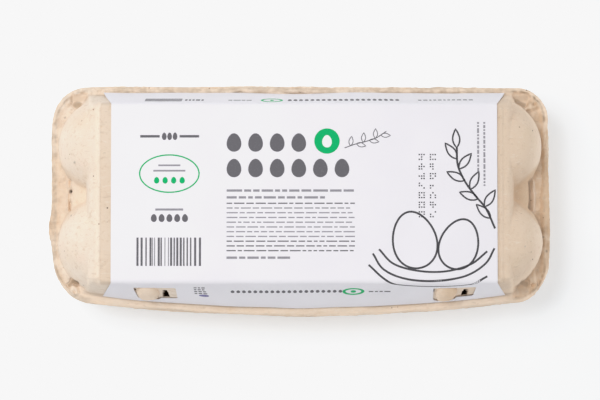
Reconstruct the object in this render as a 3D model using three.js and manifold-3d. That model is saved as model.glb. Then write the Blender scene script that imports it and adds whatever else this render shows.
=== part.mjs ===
// A moulded-pulp egg carton for two rows of five, shut and latched, with a folded paper label over its lid.
//
// Units are millimetres. +X runs along the carton, -Y is its front with the two locks, +Z is up.
// The origin is the middle of the footprint, on the surface that the carton stands on.
//
// Lid, tray and hinge are one moulding, and shut they are one solid. The tray is two rows of egg cups
// under a web. The lid is a tapered hood with two egg-shaped domes at each end. Both end in a flange,
// and a groove runs between the flanges on three sides, up to the folded hinge at the back.

import * as THREE from 'three';
import { mergeVertices } from 'three/addons/utils/BufferGeometryUtils.js';
import Module from 'manifold-3d';

const wasm = await Module();
wasm.setup();

// Footprint: straight at the back and the ends, bowed outwards along the front.
const LENGTH = 248;
const WIDTH = 114.5;
const CORNER_RADIUS = 17.5;
const BOW = 6;
const BOW_REACH = 100;
const HALF_LENGTH = LENGTH / 2;
const REAR_Y = WIDTH / 2;
const FRONT_STEPS = 14;
const ARC_STEPS = 5;

// The two rows of eggs lie either side of this line.
const AXIS_Y = 3;
const ROW_OFFSET = 24;
const EGG_PITCH = 47.5;
const EGGS_PER_ROW = 5;
const LAST_EGG_X = (EGG_PITCH * (EGGS_PER_ROW - 1)) / 2;

// Heights.
const HEIGHT = 68;
const PANEL_Z = 67.2;
const LID_FLANGE_Z = 36.3;
const LID_EDGE_Z = 34.9;
const TRAY_EDGE_Z = 34.1;
const TRAY_FLANGE_Z = 32.4;
const WEB_Z = 23;

// Rim: the flange edges are rounded, and the groove between them is this deep.
const EDGE_ROUND = 0.5;
const GROOVE_DEPTH = 1.4;
const TRAY_EDGE_INSET = 0.4;
const HINGE_RADIUS = 1.9;
const HINGE_LENGTH = 218;

// Hood of the lid: its foot inside the rim, and its top edge.
const HOOD_FRONT_INSET = 4.9;
const HOOD_REAR_INSET = 4.1;
const HOOD_FOOT_X = 108;
const HOOD_CORNER_RADIUS = 5;
const CREST_X = 98;
const CREASE_FRONT_Y = -40;
const CREASE_REAR_Y = 46;

// A rounded rib follows the crest at each end of the hood and runs down its two corners.
const RIB_RADIUS = 1.8;
const RIB_SINK = 0.7;
const RIB_FOOT_INSET = 1.7;
const RIB_BEND = 6;
const RIB_TENSION = 0.1;
const RIB_STEPS = 22;

// Domes over the last four eggs, and the sloping shelf between each pair of them.
const DOME_RADIUS = 25;
const DOME_POWER = 0.6;
const DOME_RINGS = 7;
const SHELF_TOP_X = 104.4;
const SHELF_TOP_Z = 46.6;
const SHELF_FOOT_X = 115.3;
const SHELF_FOOT_Z = 40.3;
const SHELF_WIDTH = 40;
const SLIT_LENGTH = 17;
const SLIT_WIDTH = 1.1;
const SLIT_DEPTH = 1.2;
const LIP_RADIUS = 0.8;

// A small boss and a pit beside it are pressed into the flange at each corner. Their places are measured
// inwards from the rim, from the end first and then from the front or back.
const BOSS_INSETS = { left: [13, 6.1], right: [8.2, 9.6] };
const BOSS_SIZE = [5, 3.6, 2.6];
const PIT_INSETS = { left: [12.6, 9.4], right: [13.6, 7.4] };
const PIT_SIZE = [3.8, 2.2, 1.2];

// Locks: two knobs of the tray's inner flap show through slots in the front of the hood.
const LOCK_XS = [-74.4, 71.4];
const LOCK_Z = 50;
const KNOB_WIDTH = 11.4;
const KNOB_HEIGHT = 19;
const KNOB_DEPTH = 5.2;
const SLOT_OFFSET = 8.4;
const SLOT_BOTTOM_WIDTH = 3.2;
const SLOT_TOP_WIDTH = 2.2;
const SLOT_HEIGHT = 11;
const SLOT_DEPTH = 5;

// Cups of the tray: a flat foot, then an egg-shaped bowl up to the flange.
const CUP_FOOT_RADIUS = 8;
const CUP_RADIUS = 24.2;
const CUP_POWER = 1.5;
const CUP_RINGS = 6;
const ROUND_STEPS = 24;
const BAND_TOP_INSET = 5;
const BAND_BOTTOM_INSET = 10;

// Label: a paper sheet over the lid, its front and back flaps wider at their lower edges.
const LABEL_GAP = 0.3;
const LABEL_THICKNESS = 0.4;
const LABEL_LEFT_X = -91;
const LABEL_RIGHT_X = 95;
const LABEL_FLARE = 7;
const LABEL_CLEARANCE = 1.1;
const LABEL_STEPS = 20;
const LABEL_PANELS = 3;
const WINDOW_WIDTH = 20.6;
const WINDOW_BOTTOM_Z = 44;
const WINDOW_TOP_Z = 60;
const WINDOW_OFFSET = 3.7;
const WINDOW_RADIUS = 1.2;
const WINDOW_ARC_STEPS = 2;
const KNOB_CLEARANCE = 0.4;

// Cutting tools and joined pieces run this far past the faces that they meet.
const OVERRUN = 1;

// Facets round the small rounded pieces, and from the middle of each to its tip.
const SMALL_ROUND_STEPS = 12;
const SMALL_CAP_STEPS = 3;

const PULP = { color: 0xdcc2a8, roughness: 0.95, metalness: 0 };
const PAPER = { color: 0xedebee, roughness: 0.75, metalness: 0 };

// A closed geometry as a solid that can be joined and cut.
function solidOf(geometry) {
  const bare = geometry.clone();
  bare.deleteAttribute('normal');
  bare.deleteAttribute('uv');
  const merged = mergeVertices(bare);
  return new wasm.Manifold(new wasm.Mesh({
    numProp: 3,
    vertProperties: new Float32Array(merged.attributes.position.array),
    triVerts: new Uint32Array(merged.index.array),
  }));
}

function geometryOf(solid) {
  const mesh = solid.getMesh();
  const geometry = new THREE.BufferGeometry();
  geometry.setAttribute('position', new THREE.BufferAttribute(mesh.vertProperties, 3));
  geometry.setIndex(new THREE.BufferAttribute(mesh.triVerts, 1));
  geometry.computeVertexNormals();
  return geometry;
}

function joined(geometries) {
  return geometries.map(solidOf).reduce((whole, piece) => whole.add(piece));
}

// A unit box with its vertices moved: place takes each vertex, from -1 to 1 each way, to its point.
function formedBox(stepsX, stepsY, stepsZ, place) {
  const geometry = new THREE.BoxGeometry(2, 2, 2, stepsX, stepsY, stepsZ);
  const position = geometry.attributes.position;
  for (let i = 0; i < position.count; i += 1) {
    const point = place(position.getX(i), position.getY(i), position.getZ(i));
    position.setXYZ(i, point.x, point.y, point.z);
  }
  return geometry;
}

function frontEdgeY(x) {
  return -WIDTH / 2 + BOW * (x / BOW_REACH) ** 2;
}

// The rim's outline, moved in by an inset of its own at the ends, the front and the back.
function footprint({ ends, front, rear, radius }) {
  const arcX = HALF_LENGTH - ends - radius;
  const tilt = Math.atan((2 * BOW * arcX) / BOW_REACH ** 2);
  const frontX = arcX + radius * Math.sin(tilt);
  const frontArcY = frontEdgeY(frontX) + front + radius * Math.cos(tilt);
  const rearArcY = REAR_Y - rear - radius;
  const shape = new THREE.Shape();
  shape.moveTo(-frontX, frontEdgeY(-frontX) + front);
  for (let i = 1; i <= FRONT_STEPS; i += 1) {
    const x = THREE.MathUtils.lerp(-frontX, frontX, i / FRONT_STEPS);
    shape.lineTo(x, frontEdgeY(x) + front);
  }
  shape.absarc(arcX, frontArcY, radius, tilt - Math.PI / 2, 0);
  shape.absarc(arcX, rearArcY, radius, 0, Math.PI / 2);
  shape.absarc(-arcX, rearArcY, radius, Math.PI / 2, Math.PI);
  shape.absarc(-arcX, frontArcY, radius, Math.PI, (3 * Math.PI) / 2 - tilt);
  return shape;
}

function evenFootprint(inset) {
  return footprint({ ends: inset, front: inset, rear: inset, radius: CORNER_RADIUS - inset });
}

// A flat plate between two heights, with its edges rounded off by round.
function plate(shape, lowZ, highZ, round) {
  const geometry = new THREE.ExtrudeGeometry(shape, {
    depth: highZ - lowZ - 2 * round,
    curveSegments: ARC_STEPS,
    bevelEnabled: round > 0,
    bevelThickness: round,
    bevelSize: round,
    bevelOffset: -round,
    bevelSegments: 1,
  });
  geometry.translate(0, 0, lowZ + round);
  return geometry;
}

// A plate between two heights, with the points of its upper outline moved by taper.
function taperedPlate(shape, lowZ, highZ, taper) {
  const geometry = plate(shape, lowZ, highZ, 0);
  const position = geometry.attributes.position;
  const middleZ = (lowZ + highZ) / 2;
  for (let i = 0; i < position.count; i += 1) {
    if (position.getZ(i) > middleZ) {
      const point = taper(position.getX(i), position.getY(i));
      position.setXY(i, point.x, point.y);
    }
  }
  return geometry;
}

function lathe(profile, steps, x, y) {
  const geometry = new THREE.LatheGeometry(profile, steps);
  geometry.rotateX(Math.PI / 2);
  geometry.translate(x, y, 0);
  return geometry;
}

// A rod with round ends along Y.
function capsule(radius, length) {
  return new THREE.CapsuleGeometry(radius, length - 2 * radius, SMALL_CAP_STEPS, SMALL_ROUND_STEPS);
}

function ellipsoid(size, x, y, z) {
  const geometry = new THREE.SphereGeometry(1, SMALL_ROUND_STEPS, 2 * SMALL_CAP_STEPS);
  geometry.scale(...size);
  geometry.translate(x, y, z);
  return geometry;
}

// The front and back walls of the hood at x: where each meets the flange, and its top edge.
function hoodWalls(x) {
  return {
    front: { foot: frontEdgeY(x) + HOOD_FRONT_INSET, crease: CREASE_FRONT_Y },
    rear: { foot: REAR_Y - HOOD_REAR_INSET, crease: CREASE_REAR_Y },
  };
}

function hood() {
  const shape = footprint({
    ends: HALF_LENGTH - HOOD_FOOT_X,
    front: HOOD_FRONT_INSET,
    rear: HOOD_REAR_INSET,
    radius: HOOD_CORNER_RADIUS,
  });
  return taperedPlate(shape, LID_FLANGE_Z - OVERRUN, PANEL_Z, (x, y) => {
    const { front, rear } = hoodWalls(x);
    const across = (y - front.foot) / (rear.foot - front.foot);
    return { x: (x * CREST_X) / HOOD_FOOT_X, y: THREE.MathUtils.lerp(front.crease, rear.crease, across) };
  });
}

// The rib over one end of the hood: up its front corner, along the crest and down its back corner.
function rib(side) {
  const footX = side * (HOOD_FOOT_X - RIB_FOOT_INSET);
  const crestX = side * (CREST_X - RIB_SINK);
  const topZ = HEIGHT - RIB_RADIUS;
  const footZ = LID_FLANGE_Z - RIB_SINK;
  const { front, rear } = hoodWalls(footX);
  const path = new THREE.CatmullRomCurve3([
    new THREE.Vector3(footX, front.foot + RIB_RADIUS, footZ),
    new THREE.Vector3(crestX, front.crease + RIB_RADIUS, topZ - RIB_SINK),
    new THREE.Vector3(crestX, front.crease + RIB_BEND, topZ),
    new THREE.Vector3(crestX, rear.crease - RIB_BEND, topZ),
    new THREE.Vector3(crestX, rear.crease - RIB_RADIUS, topZ - RIB_SINK),
    new THREE.Vector3(footX, rear.foot - RIB_RADIUS, footZ),
  ], false, 'catmullrom', RIB_TENSION);
  const section = new THREE.Shape();
  section.absarc(0, 0, RIB_RADIUS, 0, 2 * Math.PI);
  return new THREE.ExtrudeGeometry(section, {
    steps: RIB_STEPS,
    curveSegments: ARC_STEPS - 1,
    extrudePath: path,
  });
}

function dome(x, y) {
  const profile = [new THREE.Vector2(0, LID_EDGE_Z), new THREE.Vector2(DOME_RADIUS, LID_EDGE_Z)];
  for (let i = 0; i <= DOME_RINGS; i += 1) {
    const reach = Math.cos((i / DOME_RINGS) * (Math.PI / 2));
    const rise = Math.max(1 - reach ** 2, 0) ** DOME_POWER;
    profile.push(new THREE.Vector2(
      i === DOME_RINGS ? 0 : DOME_RADIUS * reach,
      THREE.MathUtils.lerp(LID_FLANGE_Z, PANEL_Z, rise),
    ));
  }
  return lathe(profile, ROUND_STEPS, x, y);
}

// The shelf that slopes down between two domes, from the end wall to a low step on the flange.
function shelf(side) {
  const shape = new THREE.Shape([
    new THREE.Vector2(CREST_X - OVERRUN, LID_EDGE_Z),
    new THREE.Vector2(SHELF_FOOT_X, LID_EDGE_Z),
    new THREE.Vector2(SHELF_FOOT_X, SHELF_FOOT_Z),
    new THREE.Vector2(SHELF_TOP_X, SHELF_TOP_Z),
    new THREE.Vector2(CREST_X - OVERRUN, SHELF_TOP_Z),
  ]);
  const geometry = new THREE.ExtrudeGeometry(shape, { depth: SHELF_WIDTH, bevelEnabled: false });
  geometry.rotateX(Math.PI / 2);
  geometry.translate(0, AXIS_Y + SHELF_WIDTH / 2, 0);
  if (side < 0) {
    geometry.rotateZ(Math.PI);
    geometry.translate(0, 2 * AXIS_Y, 0);
  }
  return geometry;
}

// The slit at the foot of the shelf, and the raised lip outside it.
function slit(side) {
  const geometry = new THREE.BoxGeometry(SLIT_WIDTH, SLIT_LENGTH, 2 * SLIT_DEPTH);
  geometry.translate(side * (SHELF_FOOT_X + SLIT_WIDTH / 2), AXIS_Y, LID_FLANGE_Z);
  return geometry;
}

function lip(side) {
  const geometry = capsule(LIP_RADIUS, SLIT_LENGTH);
  geometry.translate(side * (SHELF_FOOT_X + SLIT_WIDTH + LIP_RADIUS), AXIS_Y, LID_FLANGE_Z);
  return geometry;
}

// Every corner of the flange: its end is the sign of its x, and rear is positive at the back.
function corners() {
  return [-1, 1].flatMap((end) => [-1, 1].map((rear) => ({ end, rear })));
}

function cornerBump({ end, rear }, insets, size) {
  const [endInset, sideInset] = end < 0 ? insets.left : insets.right;
  const x = end * (HALF_LENGTH - endInset);
  const y = rear > 0 ? REAR_Y - sideInset : frontEdgeY(x) + sideInset;
  return ellipsoid(size, x, y, LID_FLANGE_Z);
}

// Moves a piece built upright at the origin onto the front wall of the hood, leaning with it.
function ontoFrontWall(geometry, x, z) {
  const { front } = hoodWalls(x);
  const lean = Math.atan2(front.crease - front.foot, PANEL_Z - LID_FLANGE_Z);
  const y = THREE.MathUtils.mapLinear(z, LID_FLANGE_Z, PANEL_Z, front.foot, front.crease);
  geometry.rotateX(-lean);
  geometry.translate(x, y, z);
  return geometry;
}

function knob(x, extra) {
  const radius = KNOB_WIDTH / 2 + extra;
  const geometry = capsule(radius, KNOB_HEIGHT + 2 * extra);
  geometry.rotateX(Math.PI / 2);
  geometry.scale(1, (KNOB_DEPTH / 2 + extra) / radius, 1);
  return ontoFrontWall(geometry, x, LOCK_Z);
}

// The dark gap beside each knob, narrower at its top.
function lockSlot(x) {
  const shape = new THREE.Shape([
    new THREE.Vector2(-SLOT_BOTTOM_WIDTH / 2, -SLOT_HEIGHT / 2),
    new THREE.Vector2(SLOT_BOTTOM_WIDTH / 2, -SLOT_HEIGHT / 2),
    new THREE.Vector2(SLOT_TOP_WIDTH / 2, SLOT_HEIGHT / 2),
    new THREE.Vector2(-SLOT_TOP_WIDTH / 2, SLOT_HEIGHT / 2),
  ]);
  const geometry = new THREE.ExtrudeGeometry(shape, { depth: SLOT_DEPTH + OVERRUN, bevelEnabled: false });
  geometry.rotateX(Math.PI / 2);
  geometry.translate(0, SLOT_DEPTH, 0);
  return ontoFrontWall(geometry, x + SLOT_OFFSET, LOCK_Z);
}

function lid() {
  const ends = [-1, 1];
  const pieces = [plate(evenFootprint(0), LID_EDGE_Z, LID_FLANGE_Z, EDGE_ROUND), hood()];
  for (const end of ends) {
    pieces.push(rib(end), shelf(end), lip(end));
    for (const row of [-1, 1]) {
      pieces.push(dome(end * LAST_EGG_X, AXIS_Y + row * ROW_OFFSET));
    }
  }
  const bosses = corners().map((corner) => cornerBump(corner, BOSS_INSETS, BOSS_SIZE));
  const pits = corners().map((corner) => cornerBump(corner, PIT_INSETS, PIT_SIZE));
  const knobs = LOCK_XS.map((x) => knob(x, 0));
  return joined([...pieces, ...bosses])
    .subtract(joined([...pits, ...ends.map(slit), ...LOCK_XS.map(lockSlot)]))
    .add(joined(knobs));
}

function cup(x, y) {
  const profile = [new THREE.Vector2(0, 0)];
  for (let i = 0; i <= CUP_RINGS; i += 1) {
    const out = i / CUP_RINGS;
    const rise = 1 - (1 - out ** CUP_POWER) ** (1 / CUP_POWER);
    profile.push(new THREE.Vector2(
      THREE.MathUtils.lerp(CUP_FOOT_RADIUS, CUP_RADIUS, out),
      rise * TRAY_FLANGE_Z,
    ));
  }
  const topZ = TRAY_EDGE_Z - OVERRUN;
  profile.push(new THREE.Vector2(CUP_RADIUS, topZ), new THREE.Vector2(0, topZ));
  return lathe(profile, ROUND_STEPS, x, y);
}

// The wall under the flange and the web between the cups, wider at its top.
function band() {
  const narrow = evenFootprint(BAND_BOTTOM_INSET);
  const widthAt = (x, inset) => ({ front: frontEdgeY(x) + inset, rear: REAR_Y - inset });
  return taperedPlate(narrow, WEB_Z, TRAY_FLANGE_Z + OVERRUN, (x, y) => {
    const low = widthAt(x, BAND_BOTTOM_INSET);
    const high = widthAt(x, BAND_TOP_INSET);
    const stretch = (HALF_LENGTH - BAND_TOP_INSET) / (HALF_LENGTH - BAND_BOTTOM_INSET);
    return { x: x * stretch, y: THREE.MathUtils.mapLinear(y, low.front, low.rear, high.front, high.rear) };
  });
}

function tray() {
  const pieces = [plate(evenFootprint(TRAY_EDGE_INSET), TRAY_FLANGE_Z, TRAY_EDGE_Z, EDGE_ROUND), band()];
  for (let i = 0; i < EGGS_PER_ROW; i += 1) {
    const x = i * EGG_PITCH - LAST_EGG_X;
    pieces.push(cup(x, AXIS_Y - ROW_OFFSET), cup(x, AXIS_Y + ROW_OFFSET));
  }
  return joined(pieces);
}

// What joins lid and tray: the solid between the flanges, and the folded hinge along the back.
function seam() {
  const core = plate(evenFootprint(GROOVE_DEPTH), TRAY_EDGE_Z - OVERRUN, LID_EDGE_Z + OVERRUN, 0);
  const hinge = capsule(HINGE_RADIUS, HINGE_LENGTH);
  hinge.rotateZ(Math.PI / 2);
  hinge.translate(0, REAR_Y - HINGE_RADIUS, (LID_EDGE_Z + TRAY_EDGE_Z) / 2);
  return joined([core, hinge]);
}

function carton() {
  const material = new THREE.MeshStandardMaterial(PULP);
  const mesh = new THREE.Mesh(geometryOf(lid().add(seam()).add(tray())), material);
  mesh.name = 'carton';
  return mesh;
}

// A point on a flap of the label: rise runs from the hood's foot, 0, to its top edge, 1.
function flapPoint(wall, outward, rise, offset) {
  const run = Math.abs(wall.foot - wall.crease);
  const height = PANEL_Z - LID_FLANGE_Z;
  const slant = Math.hypot(run, height);
  const z = THREE.MathUtils.lerp(LID_FLANGE_Z, PANEL_Z + offset, rise);
  const sunk = (z - LID_FLANGE_Z) / height;
  const y = THREE.MathUtils.lerp(wall.foot, wall.crease, sunk) + outward * offset * (slant / height);
  return { y, z };
}

// The label as a folded sheet: v runs from the front flap's lower edge over the top to the back one's.
function labelSheet() {
  const lowest = LABEL_CLEARANCE / (PANEL_Z - LID_FLANGE_Z);
  return formedBox(LABEL_STEPS, LABEL_PANELS, 1, (u, v, w) => {
    const offset = w < 0 ? LABEL_GAP : LABEL_GAP + LABEL_THICKNESS;
    const flapDepth = Math.max((Math.abs(v) * LABEL_PANELS - 1) / 2, 0);
    const flare = LABEL_FLARE * flapDepth;
    const x = THREE.MathUtils.mapLinear(u, -1, 1, LABEL_LEFT_X - flare, LABEL_RIGHT_X + flare);
    const { front, rear } = hoodWalls(x);
    const rise = THREE.MathUtils.lerp(1, lowest, flapDepth);
    const point = v < 0 ? flapPoint(front, -1, rise, offset) : flapPoint(rear, 1, rise, offset);
    return { x, ...point };
  });
}

// The opening in the label over each lock.
function labelWindow(x) {
  const left = x + WINDOW_OFFSET - WINDOW_WIDTH / 2;
  const right = x + WINDOW_OFFSET + WINDOW_WIDTH / 2;
  const r = WINDOW_RADIUS;
  const shape = new THREE.Shape();
  shape.absarc(right - r, WINDOW_BOTTOM_Z + r, r, -Math.PI / 2, 0);
  shape.absarc(right - r, WINDOW_TOP_Z - r, r, 0, Math.PI / 2);
  shape.absarc(left + r, WINDOW_TOP_Z - r, r, Math.PI / 2, Math.PI);
  shape.absarc(left + r, WINDOW_BOTTOM_Z + r, r, Math.PI, (3 * Math.PI) / 2);
  const depth = CREASE_FRONT_Y + WIDTH / 2;
  const settings = { depth, bevelEnabled: false, curveSegments: WINDOW_ARC_STEPS };
  const geometry = new THREE.ExtrudeGeometry(shape, settings);
  geometry.rotateX(Math.PI / 2);
  geometry.translate(0, CREASE_FRONT_Y, 0);
  return geometry;
}

function label() {
  const cuts = LOCK_XS.flatMap((x) => [labelWindow(x), knob(x, KNOB_CLEARANCE)]);
  const material = new THREE.MeshStandardMaterial(PAPER);
  const mesh = new THREE.Mesh(geometryOf(solidOf(labelSheet()).subtract(joined(cuts))), material);
  mesh.name = 'label';
  return mesh;
}

const eggCarton = new THREE.Group();
eggCarton.name = 'egg_carton';
eggCarton.add(carton(), label());

export default eggCarton;
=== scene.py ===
"""The looks of a shut egg carton of moulded pulp, with a folded paper label over its lid.

Two pulp shells, the folded hinge and the two lock knobs stand for the CAD's carton. A creased paper sheet
stands for its label, and the print lies on it. Shapes are worked out in millimetres, with +X along the
carton, -Y its front and +Z up, and turned into metres when a mesh is made. A pair of numbers with a plural
name holds the left end's value and then the right end's.
"""

import math

import bpy
import numpy as np
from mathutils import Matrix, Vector

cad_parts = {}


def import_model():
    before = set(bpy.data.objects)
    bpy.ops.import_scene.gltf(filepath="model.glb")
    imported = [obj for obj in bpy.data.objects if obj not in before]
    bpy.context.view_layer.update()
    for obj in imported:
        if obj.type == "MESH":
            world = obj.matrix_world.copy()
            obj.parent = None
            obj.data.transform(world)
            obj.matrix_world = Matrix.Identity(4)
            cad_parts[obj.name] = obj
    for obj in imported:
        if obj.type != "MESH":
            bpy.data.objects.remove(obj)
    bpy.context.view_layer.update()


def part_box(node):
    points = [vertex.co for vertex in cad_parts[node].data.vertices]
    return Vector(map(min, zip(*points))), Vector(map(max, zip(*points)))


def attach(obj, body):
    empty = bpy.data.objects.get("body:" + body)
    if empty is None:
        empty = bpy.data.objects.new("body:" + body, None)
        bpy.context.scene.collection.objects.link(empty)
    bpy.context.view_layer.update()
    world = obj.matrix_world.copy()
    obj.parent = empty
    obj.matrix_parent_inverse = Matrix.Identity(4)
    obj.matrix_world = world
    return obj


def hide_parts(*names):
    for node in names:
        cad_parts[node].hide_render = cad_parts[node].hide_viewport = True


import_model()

MM = 0.001

# Outline of the rim, from the CAD node: straight at the back and the ends, bowed outwards at the front.
BOX_LOW, BOX_HIGH = (np.array(corner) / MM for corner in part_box("carton"))
HALF_LENGTH = (BOX_HIGH[0] - BOX_LOW[0]) / 2
REAR_Y = BOX_HIGH[1]
FRONT_Y = BOX_LOW[1]
CORNER_RADII = (19.0, 16.0)
BOW = 6.0
BOW_REACH = 100.0

# The two rows of eggs lie either side of this line.
AXIS_Y = 3.0
ROW_OFFSET = 24.0
EGG_PITCH = 47.5
EGGS_PER_ROW = 5
LAST_EGG_X = EGG_PITCH * (EGGS_PER_ROW - 1) / 2

# Heights.
PANEL_Z = 67.2
FLANGE_Z = 36.3
LID_EDGE_Z = 34.9
TRAY_EDGE_Z = 34.1
TRAY_FLANGE_Z = 32.4
WEB_Z = 23.0
SEAM_Z = (LID_EDGE_Z + TRAY_EDGE_Z) / 2
RISE = PANEL_Z - FLANGE_Z

# Hood of the lid: its foot inside the rim, its top edge, and the crest that stands up at each end.
HOOD_FRONT_INSET = 4.9
REAR_FOOT_Y = REAR_Y - 4.1
HOOD_FOOT_X = 108.0
CREST_X = 98.0
CREST_STEP_X = 96.3
CREST_STEP = 0.5
CREASE_FRONT_Y = -40.0
CREASE_REAR_Y = 46.0

# Domes over the last four eggs: their tops lie this far under the panel.
DOME_DROP = 0.8

# The shelf between two domes steps down at a slit in the flange, with a torn trench and a raised lip. A
# shallow channel lies inside the rim at each end.
SHELF_FOOT_Z = 40.3
SHELF_SLOPE = 0.58
SHELF_STEPS = (0.5, 1.5)
SLIT_XS = (114.7, 115.2)
SLIT_HALF_LENGTH = 7.6
TRENCH_DEPTHS = (3.0, 1.7)
TRENCH_WIDTHS = (0.8, 1.5)
LIP_RISES = (1.1, 1.6)
LIP_OFFSETS = (0.9, 1.3)
LIP_WIDTHS = (0.75, 0.9)
SMALL_HOLE = (-114.1, 5.0)
CHANNEL_DEPTHS = (0.5, 1.6)

# The lid's rough edge lies this far inside the outline, and droops.
LID_INSET = 0.8
LIP_DROP = 0.5

# Pits at the corners, as lines with a radius and a depth, and bosses, as ridges that end at a small dimple.
CORNER_PITS = (
    ((-112.4, 48.4), (-110.6, 48.6), 2.8, 3.9),
    ((-113.0, 51.4), (-107.4, 51.6), 2.9, 2.5),
    ((-115.0, -41.8), (-113.4, -39.9), 1.7, 4.0),
    ((-113.4, -39.9), (-110.4, -40.4), 2.1, 4.3),
    ((107.4, 51.8), (113.2, 52.0), 2.8, 3.0),
    ((108.2, 50.6), (111.9, 48.1), 2.2, 3.8),
    ((113.8, 44.9), (114.6, 44.2), 1.4, 3.0),
    ((106.4, -43.4), (110.6, -40.4), 1.8, 2.4),
    ((110.0, -40.2), (113.2, -41.4), 2.3, 3.2),
    ((108.0, -45.0), (112.4, -44.6), 2.8, 2.2),
    ((118.6, -43.0), (119.2, -38.0), 1.0, 1.8),
    ((118.4, -34.2), (118.6, -34.6), 1.1, 2.6),
    ((119.4, -36.4), (120.2, -38.4), 1.8, 1.4),
)
CORNER_BOSSES = (
    ((-115.8, 50.6), (-116.2, 50.0), 3.0, 1.5),
    ((-112.6, -42.8), (-112.0, -45.0), 2.8, 2.0),
    ((112.8, 46.4), (117.2, 48.6), 3.0, 2.2),
    ((114.6, -33.0), (116.0, -41.6), 4.0, 2.6),
)

# Small round marks pressed into the edge of the hood, and dark flecks on the rim, as places with a size.
ROUND_MARKS = ((-95.7, 36.3), (-95.7, -31.3))
FLECKS = (
    (123.0, -24.7, 0.6),
    (121.4, -17.7, 0.6),
    (118.3, 4.6, 0.45),
    (108.8, -22.6, 0.4),
    (-117.5, 42.0, 0.5),
    (-109.5, 18.2, 0.5),
    (-112.2, -7.4, 0.4),
    (-94.2, 22.4, 0.4),
    (107.6, -47.8, 0.4),
)

# Browner places on the left end, each with its size and strength.
BROWN_PATCHES = (((-120.6, 4.3), (2.6, 9), 0.5), ((-108, 39.5), (12, 7), 0.34), ((-113.5, -27), (7, 6), 0.25))

# Lock knobs, and the gaps beside them: each gap's middle, half width, lower edge and upper edge.
LOCK_XS = (-74.4, 71.4)
KNOB_LOWS = (40.6, 38.8)
KNOB_HIGH = 59.5
KNOB_HALF_WIDTH = 5.7
LOCK_GAPS = (
    (LOCK_XS[0] + 8.4, 1.45, 44.6, 54.4),
    (LOCK_XS[0] - 6.2, 0.7, 53.0, 57.5),
    (LOCK_XS[1] + 9.6, 1.45, 44.6, 54.4),
    (LOCK_XS[1] - 6.4, 0.7, 53.0, 57.5),
)

# Label: its edges on the top panel, how much wider its flaps are below, and the sheet itself.
LABEL_LEFT_X = -91.0
LABEL_RIGHT_X = 95.0
LABEL_FLARE = 7.0
LABEL_CLEARANCE = 1.1
LABEL_LIFT = 0.45
PAPER_THICKNESS = 0.22
CREASE_BEND = 1.5

# Inks of the label's print.
INKS = {
    "dark": (0.078, 0.076, 0.084),
    "grey": (0.145, 0.140, 0.155),
    "light": (0.31, 0.30, 0.33),
    "green": (0.0, 0.45, 0.145),
    "violet": (0.20, 0.18, 0.37),
    "white": (0.86, 0.88, 0.88),
}
INK_LIFT = 0.05
WHITE_LIFT = 0.09
INK_DEPTH = 0.06

# Soft lights, in metres and watts: place, target, size and power.
LIGHTS = {
    "key": ((-0.33, 0.17, 0.915), (0, 0, 0.04), 0.5, 4.4),
    "fill": ((0.35, -1.1, 0.45), (0, 0, 0.04), 0.8, 1.25),
    "right": ((1.15, 0.1, 0.28), (0, 0, 0.04), 0.6, 3.2),
    "left": ((-1.1, 0.0, 0.22), (-0.1, 0, 0.04), 0.5, 0.55),
}


# Fields: smooth joins and noise.


def smooth_max(a, b, blend):
    """The larger of two fields, with the crease between them filleted over about blend."""
    mix = np.clip(0.5 + 0.5 * (a - b) / blend, 0, 1)
    return b + (a - b) * mix + blend * mix * (1 - mix)


def smooth_min(a, b, blend):
    return -smooth_max(-a, -b, blend)


def ease(low, high, value):
    """Rises smoothly from 0 at low to 1 at high, which may be the lower of the two."""
    t = np.clip((value - low) / (high - low), 0, 1)
    return t * t * (3 - 2 * t)


def bell(offset, width):
    """A smooth unit bump in one direction."""
    return np.exp(-((offset / width) ** 2))


def bump(x, y, centre, size):
    """A smooth unit bump about a place."""
    return bell(x - centre[0], size[0]) * bell(y - centre[1], size[1])


def ripple(x, y, size, seed, waves=20):
    """A smooth random field of about unit height, with bumps about size across."""
    rng = np.random.default_rng(seed)
    total = np.zeros(np.broadcast(x, y).shape)
    for _ in range(waves):
        angle = rng.uniform(0, 2 * math.pi)
        pitch = 2 * math.pi / (size * rng.uniform(1.4, 2.8))
        phase = rng.uniform(0, 2 * math.pi)
        total += np.cos(pitch * (math.cos(angle) * x + math.sin(angle) * y) + phase)
    return total / math.sqrt(waves / 2)


def from_line(x, y, start, end):
    """The nearest place on a line, as a share of it, and how far off that is."""
    run_x, run_y = end[0] - start[0], end[1] - start[1]
    along = np.clip(((x - start[0]) * run_x + (y - start[1]) * run_y) / (run_x**2 + run_y**2), 0, 1)
    return along, np.hypot(x - start[0] - along * run_x, y - start[1] - along * run_y)


# Shape of the carton.


def at_end(x, pair):
    """The left end's value or the right end's."""
    return np.where(x < 0, *pair)


def front_edge_y(x):
    return FRONT_Y + BOW * (x / BOW_REACH) ** 2


def front_foot_y(x):
    return front_edge_y(x) + HOOD_FRONT_INSET


def side_inset(x, y):
    return np.minimum(REAR_Y - y, y - front_edge_y(x))


def rim_inset(x, y):
    """How far a point lies inside the rim's outline."""
    ends = HALF_LENGTH - np.abs(x)
    sides = side_inset(x, y)
    radius = at_end(x, CORNER_RADII)
    corner = radius - np.hypot(np.maximum(radius - ends, 0), np.maximum(radius - sides, 0))
    return np.where((ends < radius) & (sides < radius), corner, np.minimum(ends, sides))


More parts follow.
